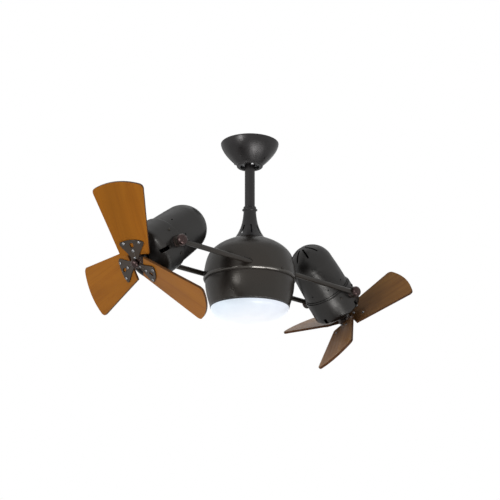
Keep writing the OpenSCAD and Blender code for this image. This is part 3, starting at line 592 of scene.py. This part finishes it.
def joined(name, pieces):
    tool = bmesh.new()
    for piece in pieces:
        tool.from_mesh(piece.data)
    mesh = bpy.data.meshes.new(name)
    tool.to_mesh(mesh)
    tool.free()
    for material in pieces[0].data.materials:
        mesh.materials.append(material)
    made = new_object(name, mesh)
    drop(*pieces)
    return made


# %% [markdown]
# ## Screws and nuts
# A pan head screw is turned from a profile, and its cross recess is cut with a boolean from two
# tapered arms, which is quick on so small a part. Every visible screw is a copy of one like it.


# %% Cut one piece with another
def cut(piece, cutter):
    knife = piece.modifiers.new("cut", "BOOLEAN")
    knife.operation = "DIFFERENCE"
    knife.solver = "EXACT"
    knife.object = cutter
    evaluated = piece.evaluated_get(bpy.context.evaluated_depsgraph_get())
    mesh = bpy.data.meshes.new_from_object(evaluated)
    piece.modifiers.remove(knife)
    piece.data = mesh
    drop(cutter)
    return piece


# %% A pan head screw with its seat at z = 0
recess_taper = 0.6
screw_steps, nut_steps = 28, 24


def recess_arm(x, y, low, high):
    """One arm of a cross recess, narrower at its floor than at its mouth."""
    tool = bmesh.new()
    bottom, top = (
        [tool.verts.new((sx * x * k * MM, sy * y * k * MM, z * MM))
         for sx, sy in ((-1, -1), (1, -1), (1, 1), (-1, 1))]
        for z, k in ((low, recess_taper), (high, 1.0)))
    tool.faces.new(bottom[::-1])
    tool.faces.new(top)
    bridge(tool, bottom, top)
    return make_object("cross", tool, zinc)


def pan_screw(head_r, head_h, shank_r, shank_l):
    shank = [(0, -shank_l), (shank_r - 0.3, -shank_l), (shank_r, -shank_l + 0.3), (shank_r, 0)]
    head = [
        (head_r - 0.15, 0), (head_r, 0.15), (head_r, head_h * 0.42),
        (head_r * 0.93, head_h * 0.66), (head_r * 0.76, head_h * 0.86),
        (head_r * 0.45, head_h * 0.97), (0, head_h)]
    screw = make_object("screw", spin(shank + head, screw_steps), zinc)
    reach, half = head_r * 0.52, head_r * 0.11
    for x, y in ((reach, half), (half, reach)):
        screw = cut(screw, recess_arm(x, y, head_h * 0.3, head_h + 1))
    return screw


screw = pan_screw(head_r=3.6, head_h=2.2, shank_r=1.8, shank_l=7)
print("one screw has", len(screw.data.polygons), "faces")


# %% A domed nut with six flats, its seat at z = 0
def domed_nut(corner_r, height):
    tool = bmesh.new()
    flats_h = height * 0.45
    corners = [math.radians(60 * i) for i in range(6)]
    low, high = (
        [tool.verts.new((corner_r * MM * math.cos(a), corner_r * MM * math.sin(a), z * MM))
         for a in corners]
        for z in (0, flats_h))
    tool.faces.new(low[::-1])
    tool.faces.new(high)
    bridge(tool, low, high)
    bmesh.ops.bevel(
        tool, geom=tool.edges[:], offset=corner_r * 0.08 * MM, segments=2, affect="EDGES")
    dome_r = corner_r * 0.74
    dome = [(0, height * 0.3)]
    for a in range(0, 90, 12):
        rise = 0.45 + 0.55 * math.sin(math.radians(a))
        dome.append((dome_r * math.cos(math.radians(a)), height * rise))
    dome.append((0, height))
    spin(dome, nut_steps, tool)
    return make_object("nut", tool, zinc)


# %% [markdown]
# ## Wood
# A blade is a six millimetre board. Its front face is a honey stained veneer and its back a
# darker walnut, which is how such blades are sold: the owner chooses the side that shows. The
# grain runs along the blade. A UV map holds true distances along and across the board, so
# the same material works for a blade at any angle. Stretched noise gives the fibres, a finer one
# the pores and a broad one the slow change from board to board. A second UV map says how far
# along the blade a point lies, for a tint from root to tip that is painted light: on the walnut
# side the board grows paler and yellower toward the tip. The same map says how much paler the
# whole board is.

# %% Veneer
untinted = (1, 1, 1)
paler_tint = (1.18, 1.22, 1.02)


def veneer(name, light, dark, deep, shift, roughness=0.34, root=untinted, tip=untinted):
    """Three browns in bands, fibres and pores. The shift picks another part of the same pattern."""
    material, tree, surface, _ = finish(name, light, roughness, Specular_IOR_Level=0.10)
    board_uv = add(tree, "ShaderNodeUVMap", uv_map="board").outputs["UV"]
    grain_uv = combine_vectors(tree, "ADD", board_uv, (shift, shift * 0.7, 0))

    def stretched(across, along, detail, warp=0.0):
        stretch = add(tree, "ShaderNodeMapping", Vector=grain_uv, Scale=(along, across, 1))
        made = add(
            tree, "ShaderNodeTexNoise", Vector=stretch.outputs[0],
            Scale=1.0, Detail=detail, Roughness=0.6, Distortion=warp)
        return made.outputs["Fac"]

    bands = stretched(across=30.0, along=2.2, detail=3.0, warp=1.3)
    fibres = stretched(across=420.0, along=9.0, detail=4.0, warp=0.4)
    pores = stretched(across=1500.0, along=60.0, detail=2.0)
    broad = stretched(across=7.0, along=3.0, detail=2.0)
    colour = blend_colours(tree, spread(tree, bands, 0, 1), light, dark)
    streaked = spread(tree, fibres, 0, 0.42, start=0.5, end=0.8)
    streaks = blend_colours(tree, streaked, colour, deep)
    speckled = spread(tree, pores, 0, 0.4, start=0.62, end=0.8)
    flecks = blend_colours(tree, speckled, streaks, deep)
    toned = add(tree, "ShaderNodeHueSaturation", Color=flecks)
    fill(tree, toned.inputs["Value"], spread(tree, broad, 0.86, 1.14, start=0.35, end=0.65))
    # The tint from root to tip is painted light, which on the walnut grows paler and yellower toward the tip.
    reach_uv = add(tree, "ShaderNodeUVMap", uv_map="reach").outputs["UV"]
    reach = add(tree, "ShaderNodeSeparateXYZ", Vector=reach_uv)
    painted_light_drift = blend_colours(tree, reach.outputs["X"], root, tip)
    paler = blend_colours(tree, reach.outputs["Y"], untinted, paler_tint)
    coloured = toned.outputs[0]
    for tint in (painted_light_drift, paler):
        coloured = combine_vectors(tree, "MULTIPLY", coloured, tint)
    fill(tree, surface.inputs["Base Color"], coloured)
    fill(tree, surface.inputs["Roughness"],
         spread(tree, fibres, roughness - 0.04, roughness + 0.1))
    bump(tree, surface, pores, 0.05 * MM, strength=0.35)
    return material


honey = veneer(
    "honey_veneer", (0.256, 0.092, 0.0080), (0.208, 0.068, 0.0055), (0.131, 0.038, 0.0045),
    shift=0.0)
# The walnut's root and tip tints paint light that grows stronger toward the tip.
walnut = veneer(
    "walnut_veneer", (0.165, 0.078, 0.022), (0.112, 0.048, 0.015), (0.050, 0.021, 0.008),
    shift=3.1, roughness=0.42, root=(1.14, 1.18, 1.32), tip=(1.82, 1.82, 1.58))
band = veneer(
    "edge_banding", (0.085, 0.034, 0.012), (0.055, 0.022, 0.009), (0.03, 0.012, 0.006),
    shift=6.3, roughness=0.45)
print("woods:", [m.name for m in (honey, walnut, band)])

# %% [markdown]
# ## The blades
# Each blade widens from a square root to a tip that is part of a circle, with its two corners
# rounded. The outline is computed once. Board and iron share the same rule: a straight side that
# is tangent to a corner circle, and a corner circle that is tangent to the end arc.

# %% The outline of a plate: straight sides, round corners, an arc at the end
corner_steps, arc_steps = 7, 14


def plate_outline(side, corner_y, corner_r, arc_x, arc_r):
    centre = Vector((arc_x + math.sqrt((arc_r - corner_r) ** 2 - corner_y ** 2), corner_y))
    start = Vector(side[-1])
    gap = centre - start
    turn = math.atan2(gap.y, gap.x) + math.asin(corner_r / gap.length)
    first, last = turn + math.pi / 2, math.atan2(centre.y, centre.x - arc_x)
    upper = [Vector(p) for p in side]
    for i in range(corner_steps + 1):
        a = first + (last - first) * i / corner_steps
        upper.append(centre + corner_r * Vector((math.cos(a), math.sin(a))))
    end = []
    for i in range(1, arc_steps):
        a = last * (1 - 2 * i / arc_steps)
        end.append(Vector((arc_x + arc_r * math.cos(a), arc_r * math.sin(a))))
    return upper + end + [Vector((p.x, -p.y)) for p in reversed(upper)]


# %% Blade sizes in millimetres, and one flat board
fan_plane = 74.6
blade_pitch = math.radians(17.8)
blade_turn = {"left": -17.6, "right": 38.9}
blade_half_t = 3.0
blade_root, blade_tip, root_half_w = 19, 197, 36
tip_x, tip_r = 52, 145
blade_rim = plate_outline(
    [(blade_root, root_half_w)], corner_y=52, corner_r=9, arc_x=tip_x, arc_r=tip_r)
mostly = 0.8


def board(name):
    flat = plate(blade_rim, -blade_half_t, blade_half_t, soften=0.9, segments=3)
    made = make_object(name, flat, honey, sharp=plate_sharp)
    made.data.materials.append(walnut)
    made.data.materials.append(band)
    for face in made.data.polygons:
        rise = face.normal.z
        face.material_index = 0 if rise > mostly else 1 if rise < -mostly else 2
    grain = made.data.uv_layers.new(name="board")
    reach = made.data.uv_layers.new(name="reach")
    for corner, way, loop in zip(grain.data, reach.data, made.data.loops):
        x, y, z = made.data.vertices[loop.vertex_index].co
        corner.uv = (x, y + z)
        way.uv = ((x / MM - blade_root) / (blade_tip - blade_root), 0)
    return made


# %% Six boards, each with its own piece of grain
grain_step, right_grain = 0.37, 0.9
paler_blades = {"left": (0, 0.2, 0.9), "right": (0, 0, 0)}


def on_blade(turn):
    """From a board drawn flat to its place on the shaft's axis."""
    return (Matrix.Rotation(math.radians(turn), 4, "Z")
            @ Matrix.Translation((0, 0, fan_plane * MM)) @ Matrix.Rotation(blade_pitch, 4, "X"))


for side, turn in blade_turn.items():
    for n in range(3):
        blade = moved(board(f"{side}_board_{n + 1}"), head_place[side] @ on_blade(turn + 120 * n))
        sideways = right_grain if side == "right" else 0.0
        for corner in blade.data.uv_layers["board"].data:
            corner.uv = (corner.uv[0] + grain_step * n, corner.uv[1] + sideways)
        for way in blade.data.uv_layers["reach"].data:
            way.uv = (way.uv[0], paler_blades[side][n])
        attach(blade, side + "_fan", "wood", f"{side}_blade_{n + 1}")
print("a blade has", len(blade.data.polygons), "faces")

# %% [markdown]
# ## Blade irons and their screws
# A stamped iron joins each board to the hub. Its tongue carries one screw into the hub and its
# triangle three screws through the board, with domed nuts behind. A pressed rib and a raised rim
# round the window stiffen it. The set for one blade is built flat, then the ring tree repeats it
# three times.

# %% Iron plate with a pressed rib and a window, in millimetres
iron_t, rim_h = 3.5, 0.6
iron_low = blade_half_t + 0.02
iron_top = iron_low + iron_t
iron_rim = plate_outline(
    [(9.2, 7.5), (25, 14.2)], corner_y=24.5, corner_r=5, arc_x=-23, arc_r=80)
window_x, window_end_x, window_r = 44.5, 46, 4.6
window = arc(window_end_x, 0, window_r, -90, 90, steps=12)
window += [(41, 4.2), (39, 2.6), (39, -2.6), (41, -4.2)]
iron = plate(iron_rim, iron_low, iron_top - rim_h, soften=0.5)
iron = make_object("iron", iron, iron_bronze, sharp=plate_sharp)
hole = make_object("hole", plate(window, iron_low - 1, iron_top + 1, soften=0.1), iron_bronze)
iron = cut(iron, hole)

# %% The raised rim round the window, and the rib along the tongue
ridge_scale, sunk, rib_foot = 1.22, 0.9, 2.4
ridge = [(x * ridge_scale + (1 - ridge_scale) * window_x, y * ridge_scale) for x, y in window]
tool = bmesh.new()
bridge_round(tool, [
    [tool.verts.new((p[0] * MM, p[1] * MM, z * MM)) for p in path]
    for path, z in ((window, iron_top - sunk), (window, iron_top),
                    (ridge, iron_top), (ridge, iron_top - sunk))])
rim = make_object("rim", tool, iron_bronze, sharp=plate_sharp)
rib_rim = [(17, 1.6), (26, 1.6), (26, -1.6), (17, -1.6)]
rib = plate(rib_rim, iron_low + rib_foot, iron_top, soften=0.5)
rib = make_object("rib", rib, iron_bronze, sharp=plate_sharp)
one_iron = joined("one_iron", [iron, rim, rib])
print("one iron has", len(one_iron.data.polygons), "faces")

# %% Screws and nuts of one blade
screw_spots = [(50, 19), (50, -19), (31, 0)]
hub_spot = (13, 0)
seat = iron_top - rim_h
nut_seat = -(blade_half_t + 0.05)
heads = grow(
    "heads", point_tree, {"Part": screw, "Finish": zinc},
    [(x * MM, y * MM, seat * MM) for x, y in screw_spots])
hub_head = moved(
    pan_screw(head_r=2.9, head_h=2.0, shank_r=1.55, shank_l=10),
    Matrix.Translation((hub_spot[0] * MM, hub_spot[1] * MM, seat * MM)))
one_set = joined("one_set", [heads, hub_head])
nut = moved(domed_nut(corner_r=3.9, height=2.5), Matrix.Rotation(math.pi, 4, "X"))
nuts = grow(
    "nuts", point_tree, {"Part": nut, "Finish": bronze},
    [(x * MM, y * MM, nut_seat * MM) for x, y in screw_spots])
for part in (one_iron, one_set, nuts):
    moved(part, on_blade(0))
drop(nut)

# %% Three irons and three sets on each hub
for side, turn in blade_turn.items():
    irons = ring_of(side + "_iron_plates", one_iron, 3, start=turn)
    attach(moved(irons, head_place[side]), side + "_fan", "bronze", side + "_irons")
    fixings = ring_of(side + "_fixings", one_set, 3, start=turn)
    attach(moved(fixings, head_place[side]), side + "_fan", "steel", side + "_blade_screws")
    back_nuts = ring_of(side + "_nuts", nuts, 3, start=turn)
    attach(moved(back_nuts, head_place[side]), side + "_fan", "steel")
drop(one_iron, one_set, nuts)
print("irons:", len(irons.data.polygons), "faces; fixings:", len(fixings.data.polygons))

# %% [markdown]
# ## Screws on the painted metal
# Four screws close each can, four small ones hold the canopy, three the globe and two the flared
# cover. They were put in before the last coat of lacquer, so they are bronze as well. One plated
# screw under the canopy's lip has stayed bright, and it shows as a white dot beside the rod. The
# ring tree leans a screw until its shank points inward and repeats it round the axis.

# %% Four screws in each can, in two pairs
for side in ("left", "right"):
    pairs = [
        ring_of("pair", screw, 2, radius=64.8, height=-6, start=start, lean=90, material=bronze)
        for start in (62, 118)]
    attach(moved(joined(side + "_can_screws", pairs), head_place[side]),
           side + "_head", "steel", side + "_housing_screws")
print("two pairs in each can")

# %% Rings of screws round the rod's axis
canopy_screw = pan_screw(head_r=2.5, head_h=1.0, shank_r=1.8, shank_l=7)
# The canopy's screws share its darker copy of the lacquer, painted shade.
canopy_set = ring_of(
    "canopy_screw_set", canopy_screw, 4,
    radius=44.2, height=-46.15, start=15, lean=135, material=shaded_tube_bronze)
attach(canopy_set, "ceiling_stem", "bronze", "canopy_screws")
small_screw = pan_screw(head_r=3.1, head_h=3.0, shank_r=1.4, shank_l=1.5)
lip_screw = ring_of(
    "lip_screw", small_screw, 1,
    radius=27.2, height=-62.05, start=-122, lean=180, material=bright_zinc)
attach(lip_screw, "ceiling_stem", "steel")
globe_set = ring_of(
    "globe_screws", screw, 3, radius=114.3, height=-353, start=-91.6, lean=90, material=bronze)
attach(globe_set, "carousel", "steel", "shell_screws")
collar_screw = pan_screw(head_r=2.7, head_h=1.45, shank_r=2.0, shank_l=4.6)
collar_set = ring_of(
    "collar_screws", collar_screw, 2,
    radius=17.45, height=-177, start=-45, lean=90, material=bronze)
attach(collar_set, "ceiling_stem", "steel", "cover_screws")
drop(collar_screw, canopy_screw, small_screw, screw)
print("canopy, lip, globe and collar screws have",
      [len(o.data.polygons) for o in (canopy_set, lip_screw, globe_set, collar_set)], "faces")

# %% [markdown]
# ## Pivot knobs and nose caps
# Each can hangs on two bolts. Outside the bar's eye a bolt ends in a domed knob of rubbed copper
# bronze, and a spacer of the same metal sits between eye and can. A lathe would turn both, so
# both are spun profiles here, with a groove cut into the knob's rim. The nose cap on each shaft's
# end is turned from the same metal.

# %% Knob, bolt and spacer
lathe_steps = 48
knob_profile = [
    (0, 57), (3.4, 57), (3.75, 57.4), (3.75, 72.7), (4.0, 72.8), (4.0, 82.05), (13.1, 82.05),
    (13.6, 82.5), (13.6, 84.6), (13.0, 85.0), (13.0, 85.8), (13.6, 86.2), (13.5, 87.2),
    (13.0, 88.9), (12.0, 90.8), (10.4, 92.4), (8.4, 93.5), (6.6, 94.0), (6.2, 93.7), (5.6, 93.7),
    (5.2, 94.2), (2.6, 94.5), (0, 94.55)]
spacer_profile = [
    (4.1, 69.32), (13.3, 69.32), (13.8, 69.8), (13.8, 71.8), (13.3, 72.3), (4.1, 72.3)]
for side in ("left", "right"):
    tool = bmesh.new()
    for onto_pivot in (-90, 90):
        before = len(tool.verts)
        for profile in (knob_profile, spacer_profile):
            spin(profile, lathe_steps, tool)
        bmesh.ops.transform(
            tool, matrix=Matrix.Rotation(math.radians(onto_pivot), 4, "X"),
            verts=list(tool.verts)[before:])
    knobs = make_object(side + "_knobs", tool, knob_metal)
    attach(moved(knobs, head_place[side]), side + "_head", "bronze", side + "_pivot_bolts")
print("a pair of knobs has", len(knobs.data.polygons), "faces")

# %% Domed nose cap over the irons' inner ends
nose_profile = [
    (0, 79.7), (4.02, 79.7), (4.02, 76.8), (7.2, 76.8), (7.2, 83.3), (9.7, 83.4), (10.05, 83.8),
    (10.1, 85.2), (9.8, 86.4), (9.0, 87.7), (7.7, 88.9), (6.0, 89.9), (4.0, 90.6), (2.0, 90.95),
    (0, 91.0)]
for side in ("left", "right"):
    nose = make_object(side + "_nose", spin(nose_profile, lathe_steps), knob_metal)
    attach(moved(nose, head_place[side]), side + "_fan", "bronze", side + "_nose_cap")
print("a nose cap has", len(nose.data.polygons), "faces")

# %% [markdown]
# ## The globe's dome
# The dome is a spun cap with a hem. Its lower edge swells to a narrow rim and runs in below it as
# a flat chamfer, which hides the raw sheet. The hem's lacquer is glossier than the rest, and the
# chamfer has the slope that catches the low lamp as a thin bright arc along the seam. The wall is
# one profile spun round the axis, and two long round cutters open it where the bars pass through.

# %% Dome with its hem
wall = 1.5
round_steps = 144
dome_wall = sweep((27, -250.7), (52, -257.5), (89, -273.5), (102, -296.5), 26)
dome_wall += sweep((102, -296.5), (108.2, -308), (112.8, -332), (114.2, -352), 16)[1:]
dome_wall.append((114.2, -354.2))
swell = [(114.5, -355.2), (114.85, -356.0), (115.0, -356.7), (115.0, -357.15), (114.9, -357.55)]
chamfer = [(114.72, -357.85), (113.18, -360.1)]
turned_in = [(112.98, -360.36), (112.78, -360.56), (112.7, -360.4), (112.7, -356)]
dome_profile = dome_wall + swell + chamfer + turned_in + inset(dome_wall, wall)[::-1]
dome = make_object("globe_dome", spin(dome_profile, round_steps), bronze, sharp=dome_sharp)

# %% Its four openings for the bars
bar_y, bar_z, opening_r, cutter_half = 77.2, -344, 6.85, 130
for y in (-bar_y, bar_y):
    rod = spin([(0, -cutter_half), (opening_r, -cutter_half),
                (opening_r, cutter_half), (0, cutter_half)], 40)
    place = Matrix.Translation((0, y * MM, bar_z * MM)) @ Matrix.Rotation(math.pi / 2, 4, "Y")
    bmesh.ops.transform(rod, matrix=place, verts=rod.verts)
    cut(dome, make_object("bar_opening", rod, bronze))
dome.data.set_sharp_from_angle(angle=math.radians(dome_sharp))

# %% A glossier coat on the hem
hem_z, hem_r = -355 * MM, 112.8 * MM
dome.data.materials.append(rolled_edge)
for face in dome.data.polygons:
    x, y, z = face.center
    if z < hem_z and math.hypot(x, y) > hem_r:
        face.material_index = 1
attach(dome, "carousel", "bronze", "upper_dome")
print("the dome has", len(dome.data.polygons), "faces")

# %% [markdown]
# ## The opal bowl
# The bowl is half of a flat oval with a neck that stands inside the shell's lip. Light from the
# board behind scatters in the opal glass, so it glows almost white in the middle and a cooler blue
# white at the rim, a little more violet on one side. The glow is part of the material, and it
# depends on the distance from the axis.

# %% Opal glass
glow = 0.585
middle_tint, cool_tint, violet_tint = (1.0, 1.0, 1.0), (0.80, 0.91, 1.0), (0.88, 0.92, 1.0)
opal, tree, surface, place = finish(
    "opal_glass", (0.36, 0.385, 0.43), 0.30, Specular_IOR_Level=0.3)
from_axis = combine_vectors(tree, "LENGTH", combine_vectors(tree, "MULTIPLY", place, (1, 1, 0)))
rimward = spread(tree, from_axis, 0, 1, start=0.045, end=0.094)
side_on = combine_vectors(tree, "DOT_PRODUCT", place, (0.70, -0.71, 0))
sideways = spread(tree, side_on, 0, 1, start=-0.06, end=0.07)
rim_tint = blend_colours(tree, sideways, cool_tint, violet_tint)
fill(tree, surface.inputs["Emission Color"], blend_colours(tree, rimward, middle_tint, rim_tint))
cloudy = spread(tree, noise(tree, place, 28.0, 3.0), 0.94, 1.06)
fill(tree, surface.inputs["Emission Strength"], combine(tree, "MULTIPLY", cloudy, glow))
bump(tree, surface, noise(tree, place, 500.0, 2.0), 0.03 * MM, strength=0.3)
print("opal glass has", len(tree.nodes), "nodes")

# %% Bowl: an oval shoulder under the shell, a neck that stands inside its lip
oval_r, oval_h, oval_z, glass_t = 96.6, 43.7, -426, 3.0
oval_steps, bowl_steps = 40, 128


def oval(shrink, top):
    wide, tall = oval_r - shrink, oval_h - shrink
    start = math.asin((oval_z - top) / tall)
    angles = [start + (math.pi / 2 - start) * i / oval_steps for i in range(oval_steps)]
    points = [(wide * math.cos(a), oval_z - tall * math.sin(a)) for a in angles]
    return points + [(0, oval_z - tall)]


outside, inside = oval(0, -430.4), oval(glass_t, -434.0)
neck = [
    (89.5, -432.5), (89.5, -426.2), (89.9, -425.8), (94.5, -425.8), (94.9, -426.2),
    (94.9, -428.2), (92.9, -428.2), (92.9, -430.05), (95.4, -430.05), (95.9, -430.15)]
bowl_profile = inside[::-1] + neck + outside
bowl = make_object("opal_bowl", spin(bowl_profile, bowl_steps), opal, sharp=plate_sharp)
attach(bowl, "carousel", "glass", "glass_bowl")
print("the bowl hangs to", outside[-1][1], "mm")

# %% Rolled bead round the shell's foot, and a black ring below it as painted shadow in the gap
bead_profile = arc(97.25, -426.3, 0.85, 0, 345, steps=23)
bead = make_object("foot_bead", spin(bead_profile, round_steps), rolled_edge)
attach(bead, "carousel", "bronze")
# The black ring paints the shadow in the narrow gap between the shell's foot and the glass.
shadow_gap_profile = [
    (96.9, -427.1), (97.5, -427.2), (97.35, -428.2), (96.95, -429.95), (96.2, -429.95),
    (96.2, -429.2)]
shadow_gap_ring = make_object("rubber_edging", spin(shadow_gap_profile, bowl_steps), black_plastic)
attach(shadow_gap_ring, "carousel", "black_plastic")
print("bead and edging have", len(bead.data.polygons), "and", len(shadow_gap_ring.data.polygons), "faces")
